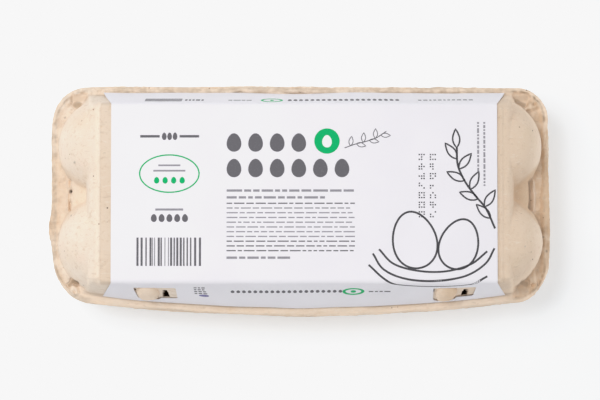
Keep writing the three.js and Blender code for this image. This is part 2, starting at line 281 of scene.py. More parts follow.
def round_corners(x, y):
    """Moves the points of a square-cornered plan into the rim's rounded outline."""
    ends = HALF_LENGTH - np.abs(x)
    rear = y > AXIS_Y
    sides = np.where(rear, REAR_Y - y, y - front_edge_y(x))
    radius = at_end(x, CORNER_RADII)
    a, b = np.clip(1 - ends / radius, 0, 1), np.clip(1 - sides / radius, 0, 1)
    rounded = (a > 0) & (b > 0)
    ends = np.where(rounded, radius * (1 - a * np.sqrt(1 - b**2 / 2)), ends)
    sides = np.where(rounded, radius * (1 - b * np.sqrt(1 - a**2 / 2)), sides)
    new_x = np.sign(x) * (HALF_LENGTH - ends)
    return new_x, np.where(rear, REAR_Y - sides, front_edge_y(new_x) + sides)


def fray(x, y, seed, inset, ragged=0.05):
    """Makes the outline uneven: moved in by inset, with long waves and short ragged ones near the edge."""
    depth = np.maximum(rim_inset(x, y), 0)
    near, tight = np.exp(-depth / 4.0), np.exp(-depth / 1.2)
    torn = ragged * (0.25 + 1.6 * ease(0.5, 1.6, ripple(x, y, 11, seed + 6)))
    short_x = torn * (ripple(x, y, 1.7, seed + 2) + ripple(x, y, 5, seed + 3))
    short_y = torn * (ripple(x, y, 1.7, seed + 4) + ripple(x, y, 5, seed + 5))
    radius = at_end(x, CORNER_RADII)
    pull_x = np.sign(x) * ease(HALF_LENGTH - radius, HALF_LENGTH, np.abs(x))
    pull_y = np.where(y > AXIS_Y, 1, -1) * ease(radius, 0, side_inset(x, y))
    swell = 1.3 * np.exp(-((y + 13) ** 2) / 60) - 1.1 * np.exp(-((y + 32) ** 2) / 80)
    bulge = 0.5 * ease(45, 30, np.abs(y)) + swell * (x < 0)
    rearward = 0.4 * (y > AXIS_Y) * ease(10, -20, x)
    long_x = 0.3 * ripple(x, y, 22, seed) + np.sign(x) * bulge - inset * pull_x
    long_y = 0.3 * ripple(x, y, 22, seed + 1) + rearward - inset * pull_y
    return x + near * long_x + tight * short_x, y + near * long_y + tight * short_y


def ridge(x, y, start, end, radius):
    """A rounded ridge whose top runs between two points, as a height above each place."""
    along, gap = from_line(x, y, start, end)
    run_x, run_y, climb = (b - a for a, b in zip(start, end))
    length = math.hypot(run_x, run_y)
    across = ((x - start[0]) * run_y - (y - start[1]) * run_x) / length
    slant = math.hypot(length, climb) / length
    return start[2] + along * climb - slant * (3 * gap**2 - 2 * across**2) / (1.6 * radius)


def hood_height(x, y, grown=0.0):
    """The tapered hood: four leaning walls under a flat panel, with rounded edges, grown on all sides."""
    half = np.abs(x)
    foot = front_foot_y(x)
    front = FLANGE_Z + (y + grown - foot) * RISE / (CREASE_FRONT_Y - foot)
    rear = FLANGE_Z + (REAR_FOOT_Y + grown - y) * RISE / (REAR_FOOT_Y - CREASE_REAR_Y)
    end = FLANGE_Z + (HOOD_FOOT_X + grown - half) * RISE / (HOOD_FOOT_X - CREST_X)
    fuller = PANEL_Z + grown - 3.5 * (np.maximum(half - CREST_X + 0.5 - grown, 0) / 4.0) ** 3
    end = np.where(end > SHELF_FOOT_Z, np.maximum(end, fuller), end)
    walls = smooth_min(smooth_min(front, rear, 3), end, 13)
    return smooth_min(walls, PANEL_Z + grown, 5.0)


def crest_height(x, y):
    """The raised edge at each end of the hood, and the rounded ribs down its corners."""
    half = np.abs(x)
    top = hood_height(x, y, CREST_STEP)
    inner = ease(CREST_STEP_X + 0.3, CREST_STEP_X - 0.3, half)
    beyond = np.maximum(np.maximum(CREASE_FRONT_Y + 2 - y, y - CREASE_REAR_Y + 2), 0)
    height = top - 6 * inner - 4 * beyond
    foot_x = HOOD_FOOT_X - 1.3
    front_rib = (front_foot_y(foot_x) + 1.2, CREASE_FRONT_Y + 2.4)
    rear_rib = (REAR_FOOT_Y - 1.2, CREASE_REAR_Y - 2.4)
    for foot_y, crease_y in (front_rib, rear_rib):
        rib_foot = (foot_x, foot_y, FLANGE_Z + 0.5)
        rib_top = (CREST_X - 0.7, crease_y, PANEL_Z + 0.4)
        height = smooth_max(height, ridge(half, y, rib_foot, rib_top, 2.2), 1.0)
    return smooth_min(height, top, 0.6)


def dome_height(x, y):
    """The egg-shaped domes over the last four eggs, of which the one at the right front is less round."""
    out_x = np.abs(x) - LAST_EGG_X
    out_y = np.abs(y - AXIS_Y) - ROW_OFFSET
    across = np.hypot(out_x, out_y)
    flatter = np.clip(out_x, 0, None) * np.clip(out_y, 0, None) / (across**2 + 1) * (x > 0) * (y < AXIS_Y)
    radius = np.where(x < 0, 25.2, np.where(y < AXIS_Y, 25.9, 25.4)) - 2.6 * flatter
    reach = across / radius
    inside = np.clip(1 - reach**3.0, 0, 1) ** 0.66
    return np.where(reach < 1, FLANGE_Z + (RISE - DOME_DROP) * inside, FLANGE_Z - 6 * (across - radius))


def shelf_height(x, y):
    """The hollow shelf between two domes, at the foot of the end wall, with a step down at the slit."""
    beyond = np.abs(x) - at_end(x, SLIT_XS)
    aside = np.minimum(np.abs(y - AXIS_Y), 20)
    shelf = SHELF_FOOT_Z - SHELF_SLOPE * beyond + 0.035 * aside**2
    step = 7 * np.maximum(beyond + at_end(x, SHELF_STEPS) + 0.02 * aside**2, 0)
    return np.where((np.abs(x) > CREST_X) & (aside < 20), shelf - step, 0)


def slit_relief(x, y):
    """The torn trench along each slit, and the raised lip outside it."""
    beside = ease(SLIT_HALF_LENGTH + 1.5, SLIT_HALF_LENGTH - 1, np.abs(y - AXIS_Y))
    torn = ease(-0.9, 0.5, ripple(0 * x, y, 4.2, 26) + 0.8 * (x > 0))
    beyond = np.abs(x) - at_end(x, SLIT_XS) - 0.14 * ripple(0 * x, y, 3.5, 27)
    trench = at_end(x, TRENCH_DEPTHS) * torn * bell(beyond + 0.7, at_end(x, TRENCH_WIDTHS))
    lip = at_end(x, LIP_RISES) * bell(beyond - at_end(x, LIP_OFFSETS), at_end(x, LIP_WIDTHS))
    return beside * (lip - trench)


def corner_share(x, y):
    return ease(102, 112, np.abs(x)) * ease(30, 42, np.abs(y - AXIS_Y))


def corner_forms(x, y):
    """The bosses' rise, and the depth of the pits pressed in between boss, hood and dome."""

    def near(start, end, radius):
        return ease(radius, 0.25 * radius, from_line(x, y, start, end)[1])

    rise = depth = 0 * x
    for start, end, radius, height in CORNER_BOSSES:
        dimple = np.exp(-(((x - end[0]) ** 2 + (y - end[1]) ** 2) / 0.8))
        rise = np.maximum(rise, height * (near(start, end, radius) - 0.55 * dimple))
    uneven = 1 + 0.12 * ripple(x, y, 2.4, 31)
    for start, end, radius, deep in CORNER_PITS:
        depth = np.maximum(depth, deep * near(start, end, radius * uneven))
    return rise, depth


def lock_slots(x, z):
    """Where the front wall is open, beside each knob."""
    depth = 0 * x
    narrow = 0.55 * ease(46, 55, z)
    for centre, half, low, high in LOCK_GAPS:
        across = ease(half + 0.25, half - 0.25, np.abs(x - centre) + narrow)
        up = ease(low - 0.6, low + 0.6, z) * ease(high + 0.6, high - 0.6, z)
        depth = np.maximum(depth, across * up)
    return depth


def lid_height(x, y):
    """The upper face of the lid."""
    half = np.abs(x)
    depth = rim_inset(x, y)
    top = PANEL_Z + CREST_STEP * ease(CREST_STEP_X - 0.3, CREST_STEP_X + 0.3, half)
    body = smooth_max(hood_height(x, y), shelf_height(x, y), 2.0)
    body = smooth_min(smooth_max(body, dome_height(x, y), 2.6), top, 0.8)
    body = smooth_max(body, crest_height(x, y), 1.0)
    rise, pit = corner_forms(x, y)
    channel = at_end(x, CHANNEL_DEPTHS) * ease(2.2, 4.4, depth) * ease(104, 110, half)
    lip = LIP_DROP * ease(1.5, 0, depth - LID_INSET)
    flange = FLANGE_Z - 0.1 + 0.35 * ripple(x, y, 26, 11) * ease(0, 4, depth) - channel + rise - lip
    z = smooth_max(body, flange, 1.3 + 3.4 * ease(-104, -110, x)) - pit
    z = z + slit_relief(x, y) - 5.0 * bump(x, y, SMALL_HOLE, (0.6, 0.7))
    calm = np.where((half < CREST_STEP_X) & (z > 40), 0.25, 1.0) + 0.9 * (z < FLANGE_Z + 1.5)
    relief = 0.15 * ripple(x, y, 9, 21) + 0.06 * ripple(x, y, 2.6, 22) + 0.03 * ripple(x, y, 1.2, 23, 28)
    z = z + calm * relief
    groove = bell(depth - 2.3 - 0.5 * ripple(x, y, 14, 24), 0.45) * (0.6 + 0.4 * ripple(x, y, 7, 25))
    z = z - (0.22 + 0.5 * corner_share(x, y)) * groove * (z < FLANGE_Z + 2)
    for mark_x, mark_y in ROUND_MARKS:
        away = np.hypot(x - mark_x, y - mark_y)
        z = z + 0.3 * bell(away, 0.8) - 0.3 * bell(away - 1.5, 0.5)
    opening = lock_slots(x, z) * (y < AXIS_Y)
    return np.maximum(z - opening * np.maximum(z - 38.0, 0), LID_EDGE_Z)


def bowl_height(x, y):
    """The under face of the ten cups, as seen from below."""
    foot_radius, radius, power = 8.0, 24.2, 1.5
    column = np.clip(np.round((x + LAST_EGG_X) / EGG_PITCH), 0, EGGS_PER_ROW - 1)
    centre_x = column * EGG_PITCH - LAST_EGG_X
    across = np.hypot(x - centre_x, np.abs(y - AXIS_Y) - ROW_OFFSET)
    t = np.clip((across - foot_radius) / (radius - foot_radius), 0, 1)
    rise = 1 - np.clip(1 - t**power, 0, 1) ** (1 / power)
    return TRAY_FLANGE_Z * rise + 4 * np.maximum(across - radius, 0)


def tray_height(x, y):
    """The under face of the tray: cups, the web between them and the wall up to the flange."""
    web = WEB_Z + 0.25 * ripple(x, y, 16, 41)
    wall = TRAY_FLANGE_Z - (rim_inset(x, y) - 5.0) * (TRAY_FLANGE_Z - WEB_Z) / 5.0
    z = smooth_max(smooth_min(bowl_height(x, y), web, 3.0), wall, 2.5)
    z = smooth_min(z, TRAY_FLANGE_Z, 1.6)
    relief = 0.16 * ripple(x, y, 8, 42) + 0.08 * ripple(x, y, 2.8, 43) + 0.04 * ripple(x, y, 1.3, 44, 28)
    return np.maximum(z + relief * ease(0.3, 1.6, z), 0)


# Meshes.


def spaced(stops):
    """Places from the first stop to the last, with about the given spacing after each stop."""
    places = [stops[0][0]]
    for (start, spacing), (end, _) in zip(stops, stops[1:]):
        steps = max(1, round((end - start) / spacing))
        places.extend(start + (end - start) * (i + 1) / steps for i in range(steps))
    return np.array(places)


def running(steps):
    """The distance walked before each step and after the last."""
    return np.concatenate([[0], np.cumsum(steps)])


def border_of(index):
    """Numbers of the points round a grid, counter-clockwise. A point left out has the number -1."""
    border = np.concatenate([index[:, 0], index[-1, 1:], index[-2::-1, -1], index[0, -2:0:-1]])
    return border[border >= 0]


def tube_grid(rings, around):
    """Quads of a tube of rings with around points each, and a face over each end."""
    index = np.arange(rings * around).reshape(rings, around)
    after = np.roll(index, -1, 1)
    quads = np.stack([index[:-1], after[:-1], after[1:], index[1:]], 2).reshape(-1, 4)
    return quads.tolist() + [index[0, ::-1].tolist(), index[-1].tolist()]


def side_quads(first, second):
    """Quads between two closed loops of points."""
    return np.stack([first, second, np.roll(second, -1), np.roll(first, -1)], 1).tolist()


def new_object(name, data):
    made = bpy.data.objects.new(name, data)
    bpy.context.scene.collection.objects.link(made)
    return made


def new_mesh(name, points, faces):
    """A mesh object from points in millimetres."""
    mesh = bpy.data.meshes.new(name)
    mesh.from_pydata((np.asarray(points, float) * MM).tolist(), [], faces)
    return new_object(name, mesh)


def new_piece(name, points, faces, uv, material, node=None):
    """A piece that rides on the carton, with its flat layout scaled evenly into the unit square."""
    piece = new_mesh(name, points, faces)
    mesh = piece.data
    uv = 0.01 + 0.98 * (uv - uv.min(0)) / (uv.max(0) - uv.min(0)).max()
    corner = np.zeros(len(mesh.loops), np.int32)
    mesh.loops.foreach_get("vertex_index", corner)
    layer = mesh.uv_layers.new(name="OFBake")
    layer.data.foreach_set("uv", uv.astype(np.float32)[corner].ravel())
    mesh.materials.append(material)
    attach(piece, "root")
    if node:
        mesh.polygons.foreach_set("use_smooth", [True] * len(mesh.polygons))
        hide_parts(node)
    return piece


def shell(columns, rows_at, height, outline, rings, coarse=False, coarse_rows=True):
    """A closed shell: a height field over the rim's plan, an edge profile round it and a flat cap inside.

    rows_at gives each column's row places. Cells of the columns in coarse use only coarse_rows. rings are
    the steps of the edge profile, each with its outset, height and raggedness.
    """
    ys = np.stack([rows_at(x) for x in columns])
    count_c, count_r = ys.shape
    plan_x, plan_y = outline(*round_corners(np.repeat(columns[:, None], count_r, 1), ys))
    z = height(plan_x, plan_y)
    quarter = np.abs(ys[0] - AXIS_Y).argmin() // 2
    walk = running(np.hypot(np.diff(columns), np.diff(z[:, quarter])))
    climb = running(np.median(np.hypot(np.diff(ys, axis=1), np.diff(z, axis=1)), axis=0))
    flat_u, flat_v = np.meshgrid(walk, climb, indexing="ij")

    fine_cell = np.broadcast_to(~np.asarray(coarse), count_c - 1)
    fine_column = np.zeros(count_c, bool)
    fine_column[:-1] |= fine_cell
    fine_column[1:] |= fine_cell
    every_row = np.broadcast_to(coarse_rows, count_r)
    used = fine_column[:, None] | every_row
    index = np.where(used, np.cumsum(used).reshape(used.shape) - 1, -1)
    points = [np.stack([plan_x, plan_y, z], -1)[used]]
    uv = [np.stack([flat_u, flat_v], -1)[used]]
    faces = []
    stops = np.flatnonzero(every_row)
    for c in range(count_c - 1):
        left, right = index[c], index[c + 1]
        if fine_cell[c]:
            faces.extend(np.stack([left[:-1], right[:-1], right[1:], left[1:]], 1).tolist())
            continue
        for r0, r1 in zip(stops[:-1], stops[1:]):
            side_right = right[r0 : r1 + 1] if fine_column[c + 1] else right[[r0, r1]]
            side_left = left[r0 : r1 + 1] if fine_column[c] else left[[r0, r1]]
            faces.append([*side_right.tolist(), *side_left[::-1].tolist()])

    previous = border_of(index)
    loop, uv_loop = points[0][previous], uv[0][previous]
    along = np.roll(loop, -1, 0) - np.roll(loop, 1, 0)
    outward = np.stack([along[:, 1], -along[:, 0]], 1)
    outward /= np.linalg.norm(outward, axis=1)[:, None]
    for _ in range(3):
        outward = (np.roll(outward, 1, 0) + outward + np.roll(outward, -1, 0)) / 3
    uv_low, uv_high = uv[0].min(0), uv[0].max(0)
    side = (2 * uv_loop - uv_high - uv_low) / (uv_high - uv_low)
    uv_out = np.where(np.abs(side) > 1 - 1e-9, np.sign(side), 0)
    reach, last = 0.0, (0.0, loop[:, 2].mean())
    total = len(points[0])
    for number, (outset, level, rough) in enumerate(rings):
        uneven = rough * ripple(loop[:, 0], loop[:, 1], 1.8, 70 + number)
        wavy = 1.6 * rough * ripple(loop[:, 0], loop[:, 1], 9, 80)
        plan = loop[:, :2] + outward * (outset + uneven)[:, None]
        points.append(np.column_stack([plan, level + 0.6 * uneven + wavy]))
        reach += math.hypot(outset - last[0], level - last[1])
        last = (outset, level)
        uv.append(uv_loop + uv_out * reach)
        current = np.arange(total, total + len(loop))
        total += len(loop)
        faces.extend(side_quads(previous, current))
        previous = current
    points.append(points[-1].mean(0)[None])
    uv.append(uv_low[None] - reach)
    faces.extend(np.stack([previous, np.full(len(loop), total), np.roll(previous, -1)], 1).tolist())
    return np.concatenate(points), faces, np.concatenate(uv)


# Materials.


class Nodes:
    """The node tree of a material or a world, with short calls to add and link its nodes."""

    def __init__(self, owner, shader="Principled BSDF", place="Object"):
        owner.use_nodes = True
        self.owner = owner
        self.tree = owner.node_tree
        self.shader = self.tree.nodes[shader]
        self.place = self.node("ShaderNodeTexCoord").outputs[place]

    def node(self, kind, inputs=None, **settings):
        made = self.tree.nodes.new(kind)
        for key, value in settings.items():
            setattr(made, key, value)
        self.put(made, inputs or {})
        return made

    def put(self, node, inputs):
        """Links each input of a node to a socket, or sets its value."""
        for key, value in inputs.items():
            if isinstance(value, bpy.types.NodeSocket):
                self.tree.links.new(value, node.inputs[key])
            else:
                node.inputs[key].default_value = value

    def noise(self, scale, detail, rough, place=None, distortion=0.0):
        inputs = {"Scale": scale, "Detail": detail, "Roughness": rough, "Distortion": distortion}
        return self.node("ShaderNodeTexNoise", {"Vector": place or self.place, **inputs}).outputs["Fac"]

    def stretched(self, turn, stretch):
        """The object's coordinates turned and then stretched, for fibres that lie one way."""
        inputs = {"Vector": self.place, "Rotation": turn, "Scale": stretch}
        return self.node("ShaderNodeMapping", inputs).outputs["Vector"]

    def ramp(self, value, low, high, to_low=0.0, to_high=1.0, kind="SMOOTHSTEP"):
        inputs = {"Value": value, "From Min": low, "From Max": high, "To Min": to_low, "To Max": to_high}
        return self.node("ShaderNodeMapRange", inputs, interpolation_type=kind).outputs["Result"]

    def mix(self, factor, a, b):
        return self.node("ShaderNodeMix", {0: factor, 6: a, 7: b}, data_type="RGBA").outputs[2]

    def tint(self, colour, field, low, high, share, over):
        """A colour with this share of another over it, where a field goes from low to high."""
        return self.mix(self.ramp(field, low, high, 0, share), colour, over)

    def attribute(self, name):
        return self.node("ShaderNodeAttribute", attribute_name=name).outputs["Fac"]

    def math(self, operation, a, b):
        return self.node("ShaderNodeMath", {0: a, 1: b}, operation=operation).outputs[0]

    def specks(self, scale, size, share):
        """A mask of round specks: one in each cell of a scattered pattern, in this share of the cells."""
        cells = self.node("ShaderNodeTexVoronoi", {"Vector": self.place, "Scale": scale})
        spot = self.ramp(cells.outputs["Distance"], size, size * 0.5)
        split = self.node("ShaderNodeSeparateColor", {"Color": cells.outputs["Color"]})
        return self.math("MULTIPLY", spot, self.ramp(split.outputs["Red"], share + 0.01, share))

    def finish(self, colour, roughness, specular, height=None, depth=0.0):
        inputs = {"Base Color": colour, "Roughness": roughness, "Specular IOR Level": specular}
        if height is not None:
            bumps = self.node("ShaderNodeBump", {"Height": height, "Distance": depth, "Strength": 1.0})
            inputs["Normal"] = bumps.outputs["Normal"]
        self.put(self.shader, inputs)
        return self.owner


def pulp_material():
    nodes = Nodes(bpy.data.materials.new("moulded_pulp"))
    broad = nodes.noise(26, 3, 0.6)
    patch = nodes.noise(85, 3, 0.55, distortion=0.4)
    mottle = nodes.noise(420, 4, 0.65)
    grain = nodes.noise(1500, 3, 0.7)
    colour = nodes.mix(nodes.ramp(broad, 0.35, 0.65), (0.86, 0.725, 0.595, 1), (0.90, 0.78, 0.66, 1))
    colour = nodes.tint(colour, patch, 0.56, 0.74, 0.45, (0.90, 0.72, 0.60, 1))
    colour = nodes.tint(colour, patch, 0.42, 0.28, 0.40, (0.82, 0.715, 0.55, 1))
    colour = nodes.tint(colour, mottle, 0.46, 0.30, 0.45, (0.66, 0.50, 0.36, 1))
    colour = nodes.tint(colour, mottle, 0.56, 0.72, 0.40, (0.91, 0.80, 0.68, 1))
    colour = nodes.tint(colour, grain, 0.44, 0.26, 0.35, (0.60, 0.43, 0.29, 1))
    # Brown from the attribute: the pulp's own browner places, with painted shade mixed in.
    colour = nodes.mix(nodes.attribute("brown"), colour, (0.80, 0.60, 0.425, 1))
    # Pale from the attribute: painted highlights.
    colour = nodes.mix(nodes.attribute("pale"), colour, (0.97, 0.80, 0.645, 1))
    for turn, scale in (((0, 0, 0.5), 620), ((0.4, 0.2, 2.1), 560)):
        strand = nodes.noise(scale, 1, 0.4, nodes.stretched(turn, (0.35, 1.5, 1.5)), 0.8)
        colour = nodes.tint(colour, strand, 0.66, 0.76, 0.30, (0.92, 0.83, 0.73, 1))
        colour = nodes.tint(colour, strand, 0.33, 0.25, 0.25, (0.55, 0.41, 0.30, 1))
    colour = nodes.mix(nodes.specks(330, 0.15, 0.09), colour, (0.46, 0.32, 0.22, 1))
    colour = nodes.mix(nodes.specks(150, 0.075, 0.18), colour, (0.12, 0.08, 0.06, 1))
    # Near black from the attribute: real flecks and dirt, and painted shade in pits, slits, holes and
    # openings.
    colour = nodes.mix(nodes.attribute("hollow"), colour, (0.055, 0.030, 0.016, 1))
    height = nodes.math("ADD", nodes.math("MULTIPLY", mottle, 0.6), nodes.math("MULTIPLY", grain, 0.4))
    return nodes.finish(colour, nodes.ramp(mottle, 0.3, 0.7, 0.95, 0.85), 0.25, height, 0.00035)


def paper_material():
    nodes = Nodes(bpy.data.materials.new("label_paper"))
    cloud = nodes.noise(30, 2, 0.5)
    fibre = nodes.noise(900, 3, 0.6)
    colour = nodes.mix(nodes.ramp(cloud, 0.35, 0.65), (0.850, 0.830, 0.872, 1), (0.866, 0.847, 0.889, 1))
    colour = nodes.tint(colour, fibre, 0.6, 0.75, 0.25, (0.84, 0.83, 0.86, 1))
    return nodes.finish(colour, nodes.ramp(fibre, 0.3, 0.7, 0.52, 0.62), 0.35, fibre, 0.00002)


def ink_material(name, colour):
    """Printed ink: slightly uneven where the paper's fibres show through."""
    nodes = Nodes(bpy.data.materials.new(name))
    fibre = nodes.noise(1300, 3, 0.6)
    lighter = tuple(min(1.0, channel * 1.25 + 0.006) for channel in colour)
    mixed = nodes.tint((*colour, 1), fibre, 0.5, 0.75, 0.8, (*lighter, 1))
    return nodes.finish(mixed, nodes.ramp(fibre, 0.3, 0.7, 0.5, 0.6), 0.12)


# Pulp pieces.


def mark_tones(piece, least, bright):
    """Tells the material where the pulp is brown, pale or dark. The brown is partly the pulp's own colour
    and partly painted shade, the pale is painted highlight, and the dark is real flecks and dirt with
    painted shade in the pits, slits, holes and lock openings.

    No place is less brown than least. bright is a middle in x and a strength, for a painted highlight
    streak.
    """
    points = np.zeros(len(piece.data.vertices) * 3)
    piece.data.vertices.foreach_get("co", points)
    x, y, z = (points.reshape(-1, 3) / MM).T
    depth = rim_inset(x, y)
    inset = depth - LID_INSET
    half = np.abs(x)
    beyond = half - at_end(x, SLIT_XS)
    aside = np.abs(y - AXIS_Y)
    on_lid = z > LID_EDGE_Z

    # Shares of each place in the parts of the carton.
    right = ease(-40, 100, x)
    left = 1 - right
    low = ease(FLANGE_Z + 5, FLANGE_Z + 1, z) * ease(SEAM_Z - 0.4, SEAM_Z, z)
    end = ease(104, 111, half)
    along = ease(110, 100, half)
    rear, front = ease(30, 45, y) * along, ease(-40, -44, y) * along
    corner = corner_share(x, y)
    # The pits get painted shade: browner and darker than their depth alone makes them.
    pit = np.clip(corner_forms(x, y)[1] / 5.0, 0, 1) * (z > SEAM_Z)
    strip = ease(CREST_STEP_X + 0.2, CREST_STEP_X - 0.2, half) * ease(60, 64, z)
    inner = right * ease(118, 111, half) * (half > CREST_STEP_X)
    wedge = 3.0 + 0.9 * np.maximum(half - 104, 0)
    wedge = ease(wedge + 2.5, wedge - 2.5, aside) * ease(99, 107, half)
    # Painted shade in the valley between the domes, stronger on the right end.
    valley = ease(66, 50, z) * wedge * (0.45 + 0.55 * right) * on_lid
    middle = ease(12, 8, aside)
    lip = bell(beyond - 1.5, 1.2) * middle * right * on_lid

    # Dirt and painted shade: darker in the rim's groove, with painted shade in its corners, most on the
    # right;
    # darker along the left end's edge and on the rear flange; a painted shadow at the foot of the hood
    # under the label's edge and on the front lip's underside; painted shade on the right end and in the
    # valleys.
    blotch = np.clip(0.75 + 0.45 * ripple(x, y, 3.2, 33) + 0.25 * ripple(x, y, 1.3, 34), 0.1, 1.5)
    # Painted shade in the groove's corners, strongest on the right end, which lies away from the light.
    groove = 0.06 + 0.16 * corner * (0.4 + 0.6 * right) + 0.10 * corner * right * (y > 0)
    groove = groove * bell(inset - 1.3, 0.6) * (1 - front)
    edge = 0.14 * ease(3.0, 0.3, inset) * ease(-100, -114, x) * (1 - 0.4 * corner)
    # Painted shadow under the label's lower edge, and painted shade on the front lip's underside.
    foot = 0.24 * front * ease(3.5, 4.1, depth) * ease(6.4, 5.4, depth)
    outer = 0.10 * front * ease(0.7, 0.2, inset)
    # Painted shade on the right end's flange, which lies in the domes' shadow.
    ends = 0.03 + 0.07 * bump(x, y, (118, -17), (8, 16)) + 0.11 * bump(x, y, (116, 50), (10, 10))
    ends = end * (right * ends + 0.06 * left)
    dirt_and_painted_shade = low * (blotch * (groove + 0.12 * rear + ends) + (0.6 + 0.4 * blotch) * edge + foot + outer)
    # Painted shade in the right valley and inside the right end, and on the strip by the crest, more on the
    # right.
    dirt_and_painted_shade = dirt_and_painted_shade + 0.12 * valley * right + 0.09 * inner * ease(46, 54, z)
    dirt_and_painted_shade = dirt_and_painted_shade + strip * (0.07 + 0.06 * right)

    # Browner flange: its own edge colour along the rear and front, more in the left front corner, and
    # painted shade on the right end's flange.
    share = 0.12 + 0.32 * rear + 0.40 * front + (0.02 + 0.70 * right) * end
    share = share + 0.25 * corner * (x < 0) * (y < 0)
    reach = 12 - 5 * ease(-104, -110, x)
    flange = low * ease(reach, reach - 5, depth) * share * (0.6 + 0.4 * blotch)
    below = 0.35 * ease(TRAY_EDGE_Z + 0.4, TRAY_EDGE_Z, z)
    # Painted shade: browner on the right end's domes and inside the right end, away from the light.
    domes = 0.36 * right * ease(60, 90, x) + 0.15 * inner
    for place, size, tone in BROWN_PATCHES:
        domes = domes + tone * bump(x, y, place, size)
    # Brown: the flange's and the tray's own colour and the brown patches, with painted shade in the
    # valleys, the pits, on the right domes and on the strip by the crest, more on the right; less on the
    # lit lip.
    brown = np.maximum.reduce([flange, valley, strip * (0.38 + 0.16 * right), pit, below, domes])
    brown = np.clip(brown, least, 1) * (1 - 0.4 * lip) + 0.8 * dirt_and_painted_shade * left * end

    # Painted highlight: lighter on the front rim and the corner edges, on the left crest and the left end's
    # walls by the valley, which face the light, and on the right lip.
    ledge = front * (0.30 + 0.50 * ease(50, 85, half)) + 0.6 * corner * ease(1.0, 0.3, inset)
    crest = ease(0, 0.4, half - CREST_STEP_X) * ease(99.5, 98, half) * ease(58, 62, z)
    sill = end * ease(60, 42, z) * ease(0, 1, z - FLANGE_Z) * ease(10, 16, aside)
    pale = low * ledge + left * (0.4 * crest + 0.55 * sill) + 0.85 * lip
    # On a knob, the pale tone is a painted highlight streak down its lit side.
    if bright:
        pale = bright[1] * bell(x - bright[0], 3.5)

    # Painted shade down the slits, deeper on the right end, and in the small hole.
    slit = middle * bell(beyond + 0.7 + 0.5 * right, 0.9 + 0.9 * right) * (0.10 * low + 0.16 * right)
    small_hole = low * bump(x, y, SMALL_HOLE, (0.8, 0.9))
    # Dark: painted shade in the pits and from the dirt and shade mask; the flecks after it are the pulp's
    # own.
    hollow = np.maximum.reduce([small_hole, 0.12 * pit + 0.62 * pit**3, dirt_and_painted_shade, slit])
    for fleck_x, fleck_y, size in FLECKS:
        hollow = np.maximum(hollow, 0.5 * bump(x, y, (fleck_x, fleck_y), (size, size)) * on_lid)
    # Painted shade in the openings beside the lock knobs, where the carton's dark inside would show.
    for lock_x in LOCK_XS:
        near = (np.abs(x - lock_x - 1.2) < 10.5) & (y < CREASE_FRONT_Y - 1.5) & (z > FLANGE_Z)
        hollow = np.maximum(hollow, near * ease(1.6, 4.0, hood_height(x, y) - z))

    for name, value in (("brown", brown), ("pale", pale), ("hollow", hollow)):
        layer = piece.data.attributes.new(name, "FLOAT", "POINT")
        layer.data.foreach_set("value", np.clip(value, 0, 1).astype(np.float32))


def pulp_piece(name, points, faces, uv, material, least=0.0, bright=None):
    piece = new_piece(name, points, faces, uv, material, "carton")
    mark_tones(piece, least, bright)


def lid(material):
    counts = (10, 46, 216, 24, 9)

    def rows(x):
        knots = (front_edge_y(x), front_foot_y(x), CREASE_FRONT_Y, CREASE_REAR_Y, REAR_FOOT_Y, REAR_Y)
        parts = [np.linspace(a, b, n, endpoint=False) for a, b, n in zip(knots, knots[1:], counts)]
        return np.concatenate([*parts, [REAR_Y]])

    fine_from = 88.0
    left = [(-HALF_LENGTH, 0.32), (-99.0, 0.4), (-94.5, 0.8), (-fine_from, 1.1)]
    locks = [(-83.0, 0.4), (-62.0, 1.1), (62.5, 0.4), (83.0, 1.1)]
    right = [(fine_from, 0.8), (94.5, 0.4), (99.0, 0.32), (HALF_LENGTH, 0)]
    columns = spaced([*left, *locks, *right])
    coarse = np.abs(columns[1:] + columns[:-1]) / 2 < fine_from
    row = np.arange(sum(counts) + 1) - counts[0] - counts[1]
    coarse_rows = (row <= 0) | (row >= counts[2]) | (row % 10 == 0)
    rings = [(0.3, 35.45, 0.03), (0.5, 35.3, 0.05), (0.5, 35.15, 0.05), (0.25, 34.95, 0.04)]
    rings += [(-0.7, 34.8, 0.04), (-1.0, SEAM_Z - 0.05, 0)]

    def outline(x, y):
        return fray(x, y, 90, LID_INSET)

    pulp_piece("lid", *shell(columns, rows, lid_height, outline, rings, coarse, coarse_rows), material)


def tray(material):
    columns = np.linspace(-HALF_LENGTH, HALF_LENGTH, 401)
    rings = [(0.3, 32.5, 0.03), (0.5, 32.9, 0.05), (0.5, 33.6, 0.05), (0.25, 34.0, 0.04)]
    rings += [(-1.3, 34.15, 0.04), (-1.6, SEAM_Z + 0.05, 0)]

    def rows(x):
        return np.linspace(front_edge_y(x), REAR_Y, 191)

    def outline(x, y):
        return fray(x, y, 130, 0.6)

    points, faces, uv = shell(columns, rows, tray_height, outline, rings)
    pulp_piece("tray", points, [face[::-1] for face in faces], uv, material)


def hinge(material):
    """The folded hinge: a rolled, cracked ridge of pulp along the back between lid and tray."""
    half_length = 104.0
    rings, around = 300, 22
    x = np.linspace(-half_length, half_length, rings)[:, None]
    angle = np.linspace(0, 2 * math.pi, around, endpoint=False)[None, :]
    taper = np.sqrt(np.clip(1 - np.abs(x / half_length) ** 18, 0.02, 1))
    rough = 1 + 0.10 * ripple(x, 5 * angle, 6, 151) + 0.07 * ripple(x, 4 * angle, 2.2, 152)
    fold = 1 - 0.22 * np.exp(-((angle - 0.35) ** 2) / 0.05)
    y = REAR_Y - 2.0 + 1.75 * taper * rough * fold * np.cos(angle) + 0.25 * ripple(x, 0 * x, 30, 153)
    z = SEAM_Z + 0.35 + 2.15 * taper * rough * fold * np.sin(angle) + 0.2 * ripple(x, 0 * x, 20, 154)
    points = np.stack(np.broadcast_arrays(x, y, z), 2).reshape(-1, 3)
    uv = np.stack(np.broadcast_arrays(x, 2.0 * angle), 2).reshape(-1, 2)
    pulp_piece("hinge", points, tube_grid(rings, around), uv, material)


